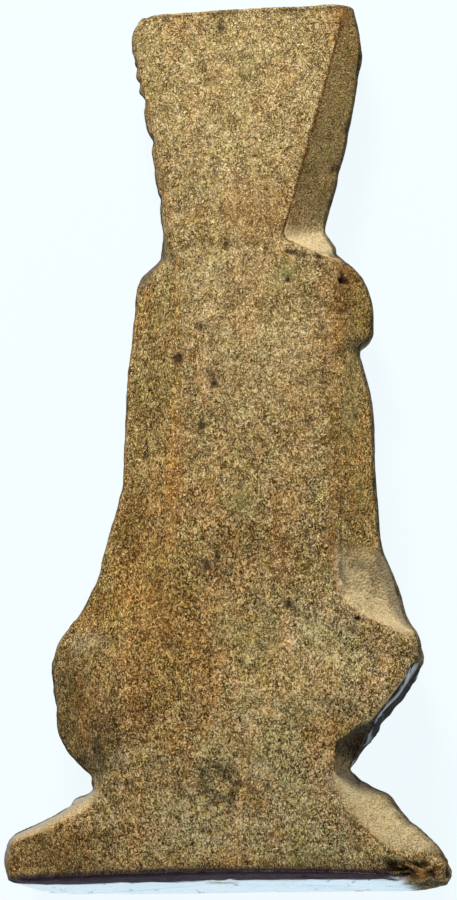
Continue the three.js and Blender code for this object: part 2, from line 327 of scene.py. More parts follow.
def sectionRings(lines, places):
    # Rings round each row: every corner is an arc, and every side has points between its arcs,
    # pushed out from its straight line by a swell or in by the scoop, highest in its middle.
    # It also gives each point's closeness to a corner, 1 on it and 0 away from it
    rows = list(stations.values())
    numbers = np.arange(len(rows))
    soft = np.interp(places, numbers, [row[5] for row in rows])[:, None]
    scoop = np.interp(places, numbers, [row[6] for row in rows])[:, None]
    rounding = [soft, soft] + [np.full_like(soft, form["wallSoft"])] * 6
    for k in (2, 7):
        rounding[k] = np.full_like(soft, form["outlineSoft"])
    pieces = []
    closeness = []
    for k in range(8):
        corner = lines[:, None, k]
        previous = lines[:, None, k - 1]
        following = lines[:, None, (k + 1) % 8]
        radius = rounding[k]
        nextRadius = rounding[(k + 1) % 8]
        toPrevious = np.linalg.norm(corner - previous, axis=-1)
        toFollowing = np.linalg.norm(following - corner, axis=-1)
        before = np.minimum(form["largestEase"], radius / toPrevious)
        after = np.minimum(form["largestEase"], radius / toFollowing)
        stop = 1 - np.minimum(form["largestEase"], nextRadius / toFollowing)
        t = np.linspace(0, 1, fineness["arcs"][k])
        pieces.append(arcPoints(previous, corner, following, before[..., None],
                                after[..., None], t[None, :, None]))
        closeness.append(np.broadcast_to(1 - np.abs(2 * t - 1), (len(lines), len(t))))
        count = fineness["sides"][k]
        between = after + (stop - after) * np.arange(1, count + 1) / (count + 1)
        out = np.stack([corner[..., 2] - following[..., 2], 0 * corner[..., 0],
                        following[..., 0] - corner[..., 0]], axis=-1)
        out = out / np.linalg.norm(out, axis=-1, keepdims=True)
        swell = form["swells"][k] - (scoop if k == 1 else 0)
        push = (swell * 4 * between * (1 - between))[..., None]
        pieces.append(corner + (following - corner) * between[..., None] + out * push)
        closeness.append(np.zeros_like(between))
    return np.concatenate(pieces, axis=1), np.concatenate(closeness, axis=1)


def facetColumns(side):
    # 1 for the points on one side of the section, and halfway round its two arcs
    shares = []
    for k in range(8):
        t = np.linspace(0, 1, fineness["arcs"][k])
        shares.append((t >= 0.5) * (k == side) + (t <= 0.5) * (k == (side + 1) % 8))
        shares.append(np.full(fineness["sides"][k], k == side))
    return np.concatenate(shares).astype(float)


def facetShare(side):
    # How far across a facet of the section each of its points is, from 0 at the ridge on the
    # shown face to 1 at the outline, and 0 off that facet
    shares = []
    for k in range(8):
        shares.append(np.full(fineness["arcs"][k], float(k == (side + 1) % 8)))
        shares.append(np.linspace(0, 1, fineness["sides"][k]) * (k == side))
    shares = np.concatenate(shares)
    return (1 - shares if side == 7 else shares) * facetColumns(side)


def outlineBand(rowCount):
    # 1 on the two outlines of the shown side, fading out at once on the walls below them, and on
    # the crown's top 1 at the rim, fading out away from it
    columns = []
    for k in range(8):
        share = np.linspace(0, 1, fineness["sides"][k])
        columns.append(np.full(fineness["arcs"][k], float(k in (2, 7))))
        columns.append(smoothStep(0.06, 0, share) * (k == 2)
                       + smoothStep(0.94, 1, share) * (k == 6))
    band = np.repeat(np.concatenate(columns)[None], rowCount, axis=0)
    ends = fineness["endRings"]
    band[:ends] = smoothStep(0.75, 1, np.linspace(0, 1, ends))[:, None]
    band[-ends:] = 0
    return band


def endRings(rim, height, inward):
    # Rings across an end, drawn in toward its middle, and sunk near the rim by the worn edge
    insets = np.linspace(0, 1, fineness["endRings"] + 1)[:-1, None, None]
    insets = insets ** fineness["endShare"]
    middle = rim.mean(axis=0)
    rings = rim[None] * (1 - insets) + middle * insets
    sink = form["edgeWear"] * np.clip(1 - insets[..., 0] / form["wearShare"], 0, 1) ** 2.5
    rings[..., 1] = height(rings) + inward * sink
    middle[1] = height(middle)
    return rings, middle


def crownHeight(points):
    # The crown's top, climbing toward +X
    return form["crownEnd"] + form["crownLean"] * points[..., 0]


def undersideHeight(points):
    # The base's underside, a plane leaning over the thickness
    return form["baseEnd"] + form["undersideTilt"] * points[..., 2]


def liftByHollow(points):
    # The worn hollow lifts the base's shown edge: most in its middle, fading up the base, to
    # both sides, and quickly toward the hidden side
    across = np.clip(1 - (points[..., 0] / form["archHalfWidth"]) ** 2, 0, None)
    along = smoothStep(-form["baseEnd"] - form["archReach"], -form["baseEnd"], -points[..., 1])
    lift = form["archRise"] * across * along * (points[..., 2] / form["archDepth"]) ** 4
    points[..., 1] += lift
    return points


def figurineGrid():
    # The whole skin as one grid of rings, from the crown's middle to the underside's middle
    places = evenPlaces()
    sides, edge = sectionRings(alongLength(places), places)
    endPlaces = np.array([0, len(stations) - 1.0])
    rims, rimEdge = sectionRings(alongLength(endPlaces), endPlaces)
    crown, crownMiddle = endRings(rims[0], crownHeight, -1)
    base, baseMiddle = endRings(rims[1], undersideHeight, 1)
    rings = np.concatenate([crown[::-1], sides, base])
    edges = np.concatenate([np.repeat(rimEdge[:1], len(crown), 0), edge,
                            np.repeat(rimEdge[1:], len(base), 0)])
    poles = np.stack([crownMiddle, baseMiddle])
    return liftByHollow(rings), liftByHollow(poles), edges


def gridNormals(rings):
    # Outward direction at each point: the cross product of the steps along and around
    along = np.gradient(rings, axis=0)
    around = np.roll(rings, -1, axis=1) - np.roll(rings, 1, axis=1)
    normal = np.cross(along, around)
    length = np.linalg.norm(normal, axis=-1, keepdims=True)
    return normal / np.maximum(length, 1e-9)


# The carving's surface, in millimetres of height and size
surface = {
    "wave": (0.10, 5.5),  # broad unevenness left by the tool
    "dent": (0.06, 1.9),  # smaller dents
    "scrape": (0.035, (0.45, 6.0, 0.45)),  # long fine furrows along the piece
    "grain": (0.024, 0.40),
    "edgeChip": (0.36, 1.0),  # bites out of the ridges and outlines
    "furrow": (0.12, 1.7),  # waves of the wall under the hip: height and spacing
    "bend": (0.8, 2.2),  # how those waves wander
    "flake": (0.22, (1.2, 1.2, 5.0)),  # and the flakes broken off that wall
    "wobble": (0.17, 0.45),  # how far the marks' edges wander
    "pits": 170,
    "pitRadius": (0.16, 0.5),
    "pitDepth": (0.05, 0.18),
    "seed": 7,
    "shownFrom": (2.5, 4.5),  # heights between which the shown side begins
    "calm": (0.0, 1.2),  # heights between which the relief begins above the flat side
}

# Rough patches on the shown side: x, y, half width, half height, how rough and how coarse
roughPatches = {
    "broken end of the base": (14.4, -31.3, 2.3, 1.0, 0.45, 0.75),
    "lumps in the middle of the base": (0.8, -24.8, 3.0, 2.2, 0.17, 0.9),
    "left of the notch": (-8.0, -22.6, 1.5, 1.8, 0.14, 0.7),
    "shoulder": (9.1, 12.0, 0.7, 0.9, 0.20, 0.5),
    "lower edge of the ledge": (6.8, 13.9, 2.2, 0.3, 0.16, 0.5),
    "middle of the belly": (-0.2, -8.9, 2.4, 0.9, 0.12, 0.6),
    "scoop": (10.3, -10.6, 1.8, 2.2, 0.12, 0.7),
    "hip's tip": (14.2, -16.4, 1.0, 1.0, 0.16, 0.6),
    "left hip": (-11.8, -18.5, 1.0, 3.5, 0.12, 0.8),
}

# Single marks on the shown side: x, y, radius, depth in millimetres, and raised where negative
bites = {
    "nicks in the crown's left edge": ((-6.9, 28.2, 0.3, 0.16), (-6.7, 27.0, 0.35, 0.3),
                                       (-6.5, 25.7, 0.45, 0.36), (-5.8, 22.7, 0.5, 0.34),
                                       (-5.0, 18.4, 0.4, 0.16)),
    "crown's right edge": ((10.1, 28.9, 0.8, -0.08), (10.0, 27.5, 0.35, 0.3),
                           (9.3, 23.3, 0.45, 0.34), (8.5, 20.4, 0.5, 0.2),
                           (8.0, 17.4, 0.35, 0.22)),
    "holes beside the shoulder": ((9.2, 11.9, 0.26, 0.5), (9.0, 12.5, 0.2, 0.2),
                                  (9.1, 9.7, 0.2, 0.22)),
    "crumbled ledge": ((5.2, 14.1, 0.3, 0.22), (6.2, 13.9, 0.25, 0.2), (7.2, 13.7, 0.3, 0.26),
                       (8.3, 14.2, 0.4, 0.2)),
    "cut under the arm": ((10.5, 6.9, 0.5, 0.45),),
    "pocks on the robe": ((-3.1, 6.3, 0.4, 0.34), (-2.7, 6.8, 0.2, 0.3), (-0.6, 5.0, 0.4, 0.16),
                          (-0.3, 4.4, 0.3, 0.22), (-1.1, 1.3, 0.35, 0.24), (6.8, 1.2, 0.25, 0.12),
                          (-0.6, -9.1, 0.3, 0.3), (0.1, -8.4, 0.25, 0.25), (4.9, 12.0, 0.2, 0.34)),
    "pocks by the hip": ((10.4, -13.0, 0.2, 0.4), (5.3, -12.0, 0.35, 0.24), (9.1, -5.2, 0.2, 0.2)),
    "chip in the hip's tip": ((14.7, -16.9, 0.6, 0.32), (14.9, -15.2, 0.35, 0.14)),
    "bulge below the notch": ((11.9, -25.7, 0.9, -0.3), (9.8, -24.4, 0.5, 0.12),
                              (13.7, -27.5, 0.5, 0.12)),
    "knocks in the base": ((-0.8, -24.3, 0.4, 0.06), (1.8, -25.0, 0.5, 0.06),
                           (3.0, -24.2, 0.5, -0.12), (1.2, -26.4, 0.4, 0.05),
                           (-0.2, -26.9, 0.3, 0.05)),
    "step in the base's left shoulder": ((-9.9, -24.9, 0.5, 0.4), (-10.6, -25.9, 0.5, -0.26)),
    "holes in the base's end": ((14.0, -31.5, 0.3, 0.4), (15.4, -31.9, 0.25, 0.3),
                                (12.6, -31.2, 0.3, 0.2)),
}

# Marks on the shown side by region: x, y, half width, half height in millimetres and strength. The dark
# ones are painted shade and the pale ones partly painted light
stains = {
    "rusty": {
        "crown": ((8.7, 31.9, 0.6, 0.5, 1.0), (1.6, 17.5, 2.4, 2.6, 0.35)),
        "shoulders": ((9.0, 12.7, 0.6, 0.5, 0.9), (-6.5, 9.5, 0.5, 3.5, 0.25)),
        "robe": ((-3.15, 3.5, 0.12, 3.6, 0.8), (-3.4, -5.0, 0.6, 4.0, 0.3),
                 (-6.2, -1.0, 0.5, 7.0, 0.25), (5.6, 2.0, 1.5, 5.0, 0.25),
                 (8.5, -4.5, 0.4, 3.5, 0.25)),
        "scoop's corner": ((12.4, -11.6, 0.5, 0.7, 0.7),),
        "hips": ((-4.5, -13.0, 1.2, 3.5, 0.35), (4.8, -9.0, 1.6, 1.4, 0.4)),
        "base": ((-12.5, -30.0, 2.5, 1.2, 0.4), (14.4, -31.4, 2.4, 0.9, 0.6)),
    },
    "mossy": {
        "crown": ((-5.8, 30.0, 1.6, 1.0, 0.35), (1.0, 27.5, 3.0, 3.2, 0.22),
                  (-1.5, 19.0, 1.2, 0.7, 0.4)),
        "shoulders": ((4.8, 12.5, 0.8, 0.9, 0.9), (-4.5, 9.4, 0.8, 0.8, 0.5)),
        "robe": ((1.9, -4.4, 0.7, 1.0, 0.8), (9.7, 3.5, 0.5, 4.5, 0.5),
                 (10.2, -4.0, 0.4, 2.0, 0.5)),
        "hips": ((7.8, -9.4, 0.7, 0.7, 0.5), (0.6, -14.0, 1.4, 1.2, 0.3),
                 (4.0, -14.0, 0.9, 1.8, 0.4), (6.2, -17.3, 1.2, 0.9, 0.4),
                 (6.6, -19.9, 1.2, 1.2, 0.45), (2.5, -22.5, 1.0, 0.9, 0.5)),
        "base": ((-4.0, -26.5, 1.6, 0.7, 0.4), (12.2, -28.8, 0.7, 0.6, 0.8),
                 (6.4, -30.3, 1.2, 0.6, 0.5)),
    },
    "dusky": {
        "below the ledge": ((7.4, 13.2, 1.6, 0.25, 0.6),),
        "robe's pocks": ((-3.1, 6.2, 0.4, 0.4, 1.0), (-0.4, 4.6, 0.5, 0.35, 0.6),
                         (-1.1, 1.3, 0.35, 0.35, 0.7), (6.8, 1.3, 0.35, 0.25, 0.5)),
        "belly": ((0.4, -8.9, 2.0, 0.7, 0.4), (-4.3, -8.5, 0.5, 2.2, 0.45),
                  (5.3, -12.0, 0.35, 0.35, 0.8), (-7.6, -20.5, 0.7, 2.2, 0.5)),
        "hip": ((9.0, -5.4, 0.9, 1.4, 0.4), (14.9, -15.9, 0.4, 0.8, 0.6),
                (13.0, -18.0, 1.2, 0.4, 0.5), (9.3, -19.6, 1.0, 0.9, 0.45)),
        "left of the notch": ((-8.4, -23.2, 1.2, 1.2, 0.6),),
        "base's end": ((13.5, -31.2, 1.2, 0.5, 0.9), (15.6, -31.5, 0.6, 0.6, 0.9)),
    },
    "warm": {
        "arm": ((9.8, 10.5, 1.0, 3.5, 0.9),),
        "robe": ((-2.0, -4.5, 5.0, 4.0, 0.5), (10.3, -2.0, 1.3, 5.5, 0.8)),
        "belly": ((-4.5, -13.5, 6.0, 8.5, 1.0), (9.6, -21.6, 1.8, 1.4, 1.0)),
        "left hip": ((-10.8, -18.0, 3.0, 5.0, 0.9), (-12.4, -17.5, 1.2, 3.0, 1.0)),
        "base": ((-12.0, -30.0, 5.0, 2.6, 1.0), (0.0, -31.0, 12.0, 1.4, 0.6)),
    },
    "umber": {
        "robe": ((-5.4, 8.0, 1.4, 5.5, 0.5), (-5.2, 1.0, 1.4, 4.5, 0.4),
                 (-6.6, -5.5, 1.3, 4.5, 0.8), (1.5, -7.4, 5.5, 0.9, 0.5)),
        "belly": ((-3.0, -11.6, 2.6, 0.8, 0.5), (-5.0, -19.5, 3.0, 1.4, 0.5),
                  (-8.0, -21.0, 1.2, 2.0, 0.7)),
        "left hip": ((-9.2, -12.0, 1.5, 3.6, 0.8), (-11.2, -18.0, 1.8, 4.0, 0.6)),
        "base": ((-9.0, -28.6, 4.0, 0.6, 0.5), (14.5, -31.5, 2.3, 1.0, 1.7)),
    },
    "buff": {
        "crown": ((1.5, 26.0, 5.5, 5.5, 0.45),),
        "robe": ((1.8, 5.0, 3.8, 5.0, 0.5), (10.0, 1.5, 1.2, 6.0, 0.5),
                 (5.6, -2.0, 2.4, 4.0, 0.45), (0.0, -1.5, 2.0, 3.0, 0.4)),
        "hips": ((8.5, -16.0, 5.5, 4.0, 1.0), (3.6, -15.5, 1.6, 5.0, 0.5),
                 (3.5, -21.5, 4.5, 2.5, 0.8)),
        "base": ((1.5, -26.2, 6.0, 3.0, 0.7), (9.4, -29.9, 2.4, 0.8, 0.6)),
    },
    # painted shade: spots darkened where shade falls, beside and under the arm, on the left hip and
    # left of the notch, in the undercut and low on the base
    "dark": {
        "arm": ((9.0, 10.5, 0.5, 2.6, 0.35), (10.5, 7.2, 0.7, 0.5, 0.6)),
        "hips": ((-11.6, -18.0, 1.5, 3.8, 0.35), (-8.8, -21.5, 0.8, 2.4, 0.4),
                 (9.3, -21.4, 1.2, 0.35, 0.6)),
        "base": ((9.9, -28.2, 0.7, 1.6, 0.4), (-12.0, -30.2, 4.2, 1.7, 0.5),
                 (0, -31.2, 9.0, 0.7, 0.25), (8.0, -30.9, 3.5, 0.8, 0.4)),
    },
    # paler spots: partly paler stone, and partly painted light, on the ledge and the scoop where they
    # face the lamp and on the base below the notch, where it lifts the hip's shadow
    "pale": {
        "ledge": ((6.4, 15.0, 2.4, 0.7, 0.4), (7.4, 14.3, 1.5, 0.4, 0.8)),
        "under the neck": ((-1.0, 12.6, 2.2, 1.0, 0.25),),
        "scoop": ((9.9, -10.6, 0.9, 1.6, 0.6), (11.8, -12.4, 1.2, 0.6, 0.6),
                  (6.5, -13.5, 1.8, 1.0, 0.3)),
        "hips": ((-10.0, -14.4, 1.3, 0.6, 0.6), (-12.6, -17.5, 0.5, 2.0, 0.4),
                 (14.5, -16.9, 0.5, 0.35, 1.0)),
        "base": ((-7.0, -23.0, 0.7, 0.5, 0.5), (3.2, -23.9, 1.0, 0.5, 0.5),
                 (10.0, -24.8, 1.4, 1.0, 1.3), (-11.8, -27.0, 1.6, 0.3, 0.5),
                 (13.1, -27.8, 0.22, 0.18, 1.0), (13.5, -28.1, 0.16, 0.12, 1.0)),
    },
}

# Stretches of the length in millimetres, from and to, and how far their ends fade where that
# isn't the usual
zones = {
    "ledge": (13.6, 16.2), "scoop": (-14.0, 0), "undercut": (-23.0, -20.4, 0.5),
    "base's right facet": (-29.8, -24.4), "base's left facet": (-28.8, -25.2),
    "right chamfer": (-8.5, 13.0), "left chamfer": (-13.0, 13.0, 1.0),
    "crown's walls": (12.0, 30.5), "crown's ridge": (14.8, 31.6), "crown's facet": (14, 31.5),
    "scoop's rim": (-13.6, -7.6), "base's rim": (-30.0, -25.0), "ledge's rim": (13.5, 15.6),
    "left shoulder's rim": (12.0, 15.5), "base's left rim": (-30.0, -24.8),
}
usualFade = 0.3


def spot(points, x, y, halfWidth, halfHeight):
    # A round or long spot seen from above: 1 in its middle, falling off as a bell curve
    apart = ((points[..., 0] - x) / halfWidth) ** 2 + ((points[..., 1] - y) / halfHeight) ** 2
    return np.exp(-apart)


def skinFacts(rings, edges):
    # What both the relief and the colours follow at each point: its place and outward direction,
    # whether it shows, its wobbled place, and 1 on the steep wall under the hip
    outward = gridNormals(rings)
    x, y, z = np.moveaxis(rings, -1, 0)
    wobble, wobbleSize = surface["wobble"]
    wander = np.stack([latticeNoise(rings, wobbleSize, seed) for seed in (11, 12, 13)], axis=-1)
    underHip = smoothStep(0.25, 0.6, outward[..., 0] - outward[..., 1]) * smoothStep(6, 9, x)
    underHip *= smoothStep(-15.8, -16.6, y) * smoothStep(-24.4, -23.6, y)
    steep = smoothStep(0.6, 0.4, outward[..., 2])
    underHip *= steep * (1 - facetColumns(1)) * smoothStep(1.5, 3.0, z)
    return {"rings": rings, "edges": edges, "outward": outward, "underHip": underHip,
            "shown": smoothStep(*surface["shownFrom"], z),
            "wander": wander, "wandered": rings + wobble * wander}


def relief(skin):
    # Height at each point: layers of lattice noise, less the edges' chips, plus the rough
    # patches' lumps and the raised marks, plus the waves and less the flakes of the wall under
    # the hip. It also gives how much each point lies in a crevice among the lumps
    rings, shown, wandered = skin["rings"], skin["shown"], skin["wandered"]
    height = np.zeros(shown.shape)
    for number, layer in enumerate(("wave", "dent", "scrape", "grain")):
        amount, size = surface[layer]
        height += amount * latticeNoise(rings, size, number + 1)
    chip, chipSize = surface["edgeChip"]
    height -= chip * np.clip(latticeNoise(rings, chipSize, 5) - 0.05, 0, None) * skin["edges"]
    crevices = np.zeros(shown.shape)
    for *place, amount, size in roughPatches.values():
        lumps = latticeNoise(rings, size, 6) + 0.6 * latticeNoise(rings, size / 2.2, 8)
        near = spot(wandered, *place) * shown
        height += amount * (lumps - 0.35) * near
        crevices += amount * smoothStep(0.15, -0.35, lumps) * near
    furrow, spacing = surface["furrow"]
    bend, bendSize = surface["bend"]
    phase = 2 * math.pi * (rings[..., 2] / spacing + bend * latticeNoise(rings, bendSize, 7))
    height += furrow * skin["underHip"] * np.sin(phase)
    flake, flakeSize = surface["flake"]
    height -= flake * skin["underHip"] * smoothStep(-0.1, 0.3, latticeNoise(rings, flakeSize, 9))
    for places in bites.values():
        for markX, markY, radius, depth in places:
            height += max(-depth, 0) * spot(wandered, markX, markY, radius, radius) * shown
    return height, crevices


def pitDepth(skin):
    # How deep each point is sunk: the deepest of the bites and the chance pits, all bell curves
    rings, wandered = skin["rings"], skin["wandered"]
    sunk = np.zeros(rings.shape[:2])
    for places in bites.values():
        for markX, markY, radius, depth in places:
            near = spot(wandered, markX, markY, radius, radius) * skin["shown"]
            sunk = np.maximum(sunk, max(depth, 0) * near)
    chance = np.random.default_rng(surface["seed"])
    flat = rings.reshape(-1, 3)
    for number in chance.integers(0, len(flat), surface["pits"]):
        radius = chance.uniform(*surface["pitRadius"])
        depth = chance.uniform(*surface["pitDepth"])
        apart = np.sum((wandered - flat[number]) ** 2, axis=-1) / radius ** 2
        sunk = np.maximum(sunk, depth * np.exp(-apart * 1.5))
    return sunk


def colorMarks(skin, crevices, sunk):
    # What the colour and gloss follow at each point, painted shade and light among them: the placed
    # marks are sets of spots, and the rest
    #     are products of where the point is, how it faces and what side it is on
    rings, edges, shown, wandered = (skin[k] for k in ("rings", "edges", "shown", "wandered"))
    x, y, z = np.moveaxis(rings, -1, 0)
    along, up = skin["outward"][..., 1], skin["outward"][..., 2]
    right, left = facetColumns(1), facetColumns(7)
    toRight, toLeft = facetShare(1), facetShare(7)
    ends = fineness["endRings"]

    def within(zone):
        # 1 between two places along the length, fading out beyond them
        low, high, fade = (*zones[zone], usualFade)[:3]
        return smoothStep(low - fade, low + fade, y) * smoothStep(high + fade, high - fade, y)

    marks = {}
    for name, regions in stains.items():
        marks[name] = np.zeros(z.shape)
        for *place, strength in sum(regions.values(), ()):
            marks[name] = np.maximum(marks[name], strength * spot(wandered, *place) * shown)

    # painted light: the facets that face the lamp beyond the crown, on the ledge, the scoop, the base's
    # two facets and the crown's walls, are painted paler
    marks["fresh"] = np.maximum.reduce([
        right * np.maximum(within("ledge"), within("base's right facet")),
        right * smoothStep(-7.0, -9.0, y) * within("scoop"),
        0.9 * left * within("base's left facet"),
        0.5 * smoothStep(0.5, 0.8, along) * (1 - right) * within("crown's walls") * shown])
    marks["chamfer"] = np.maximum(right * within("right chamfer"), left * within("left chamfer"))
    marks["facet"] = np.maximum(right * within("crown's facet"), marks["fresh"])
    # painted shade on the crown's right facet, which turns away from the lamp, strongest high on the
    # crown and fading out toward the neck
    marks["crownFacetShade"] = right * smoothStep(15.5, 21.0, y)
    marks["lower"] = np.maximum(smoothStep(9, -9, y), 0.9 * marks["chamfer"])
    marks["lower"] *= 1 - 0.7 * marks["facet"]

    # the ridges, the outlines with painted shade where the surface turns steeply away, and the rims of
    # the facets with painted shade and a cool sheen
    marks["ridge"] = edges * shown * (0.45 + 0.55 * smoothStep(12.5, 14.5, y))
    rightRidge = np.zeros(z.shape[1])
    rightRidge[fineness["arcs"][0] + fineness["sides"][0]:][:fineness["arcs"][1]] = 1
    marks["seam"] = np.clip(2.2 * edges, 0, 1) * rightRidge * within("crown's ridge")
    # painted shade: a dark band where the outlines and the crown's rim turn steeply away
    crownEdge = 0.8 * np.exp(-((y - rings[ends - 1, :, 1]) / 0.10) ** 2) * shown
    steep = smoothStep(0.70, 0.35, np.abs(up))
    marks["outline"] = np.maximum(steep * outlineBand(len(rings)), crownEdge)
    # painted shade with a cool grey sheen where the scoop, the base, the ledge and the left shoulder
    # turn down to their outlines
    marks["rim"] = np.maximum.reduce([
        0.6 * right * smoothStep(0.84, 1.0, toRight) * within("scoop's rim"),
        0.4 * right * smoothStep(0.95, 1.0, toRight) * (within("base's rim") + within("ledge's rim")),
        0.7 * smoothStep(0.65, 0.95, toLeft) * within("left shoulder's rim")])
    # painted highlight: a pale grey band on the base's left rim, where it catches the light
    marks["ash"] = 0.75 * smoothStep(0.25, 0.6, toLeft) * within("base's left rim")

    # the wall under the hip, glossy and near-black, with painted highlights: streaks, and a bright line
    # high on it
    marks["glossAndReflection"] = skin["underHip"]
    wallShare = np.zeros(z.shape[1])
    wallStart = sum(fineness["arcs"][:3]) + sum(fineness["sides"][:2])
    wallShare[wallStart:][:fineness["sides"][2]] = np.linspace(0, 1, fineness["sides"][2])
    line = smoothStep(0.05, 0.12, wallShare) * smoothStep(0.30, 0.18, wallShare)
    marks["highlightLine"] = skin["underHip"] * line

    # the base's underside, painted pale and cool as a reflection of the bright floor, with painted
    # shade in a dark line along its rim, and its broken right end
    onBase = (np.arange(len(rings)) >= len(rings) - ends)[:, None]
    leftOfBreak = smoothStep(13.6, 12.6, wandered[..., 0])
    marks["underside"] = onBase * smoothStep(0.7, 0.95, -along) * leftOfBreak
    # painted shade: a dark line along the base's shown edge, where it rounds away, on the face and just
    # under it on the underside
    rim = rings[-ends]
    upperRim = rim[rim[:, 2] > 5]
    upperRim = upperRim[np.argsort(upperRim[:, 0])]
    belowRim = np.interp(x, upperRim[:, 0], upperRim[:, 2]) - z + 0.3 * skin["wander"][..., 2]
    onFace = np.exp(-((y - rim[:, 1]) / 0.28) ** 2) * shown
    marks["baseEdgeShade"] = np.where(onBase, smoothStep(2.2, 1.8, belowRim), onFace)
    marks["baseEdgeShade"] *= smoothStep(13.2, 12.4, wandered[..., 0])
    # painted shade also on the broken right end of the base near the floor, on the undercut facet under
    # the hip, and in the crevices among the rough lumps
    brokenOff = onBase * smoothStep(12.2, 13.2, wandered[..., 0]) * smoothStep(6.5, 4.5, z)
    undercut = right * within("undercut") * smoothStep(11.4, 10.6, x)
    marks["dark"] = np.maximum.reduce([marks["dark"], undercut, np.clip(5 * crevices, 0, 1),
                                       brokenOff])
    marks["pit"] = np.clip(sunk / 0.2, 0, 1)
    return marks


def carve(rings, edges):
    # Moves each point along its outward direction by its relief, less the depth of its pits,
    # except near the side that it rests on, which keeps its plane
    skin = skinFacts(rings, edges)
    height, crevices = relief(skin)
    sunk = pitDepth(skin)
    calm = smoothStep(*surface["calm"], rings[..., 2])
    moved = rings + skin["outward"] * ((height - sunk) * calm)[..., None]
    return moved, colorMarks(skin, crevices, sunk)


def figurineMesh():
    # Quads join each ring to the next, round to its own start, and a fan of triangles closes
    # each end at its middle. The colour marks become attributes of the points
    rings, poles, edges = figurineGrid()
    rings, marks = carve(rings, edges)
    count, around = rings.shape[:2]
    row = np.arange(count - 1)[:, None] * around
    first = np.arange(around)
    second = (first + 1) % around
    quads = np.stack([row + first, row + around + first, row + around + second, row + second],
                     axis=-1)
    crownPole, lastRow = count * around, (count - 1) * around
    crownFan = np.stack([np.full(around, crownPole), first, second], axis=-1)
    baseFan = np.stack([lastRow + first, np.full(around, crownPole + 1), lastRow + second], axis=-1)
    points = np.concatenate([rings.reshape(-1, 3), poles]) * millimetre
    mesh = bpy.data.meshes.new("figurine")
    mesh.vertices.add(len(points))
    mesh.vertices.foreach_set("co", points.ravel())
    corners = np.concatenate([part.ravel() for part in (quads, crownFan, baseFan)])
    sizes = np.repeat((4, 3), (quads.size // 4, 2 * around))
    mesh.loops.add(len(corners))
    mesh.loops.foreach_set("vertex_index", corners.astype(np.int32))
    mesh.polygons.add(len(sizes))
    mesh.polygons.foreach_set("loop_start", (np.cumsum(sizes) - sizes).astype(np.int32))
    mesh.polygons.foreach_set("use_smooth", np.ones(len(sizes), bool))
    mesh.update(calc_edges=True)
    mesh.validate()
    for name, values in marks.items():
        layer = mesh.attributes.new(name, "FLOAT", "POINT")
        layer.data.foreach_set("value", np.append(values.ravel(), (0, 0)))
    print("figurine mesh:", len(points), "points,", quads.size // 2 + 2 * around, "triangles")
    return mesh


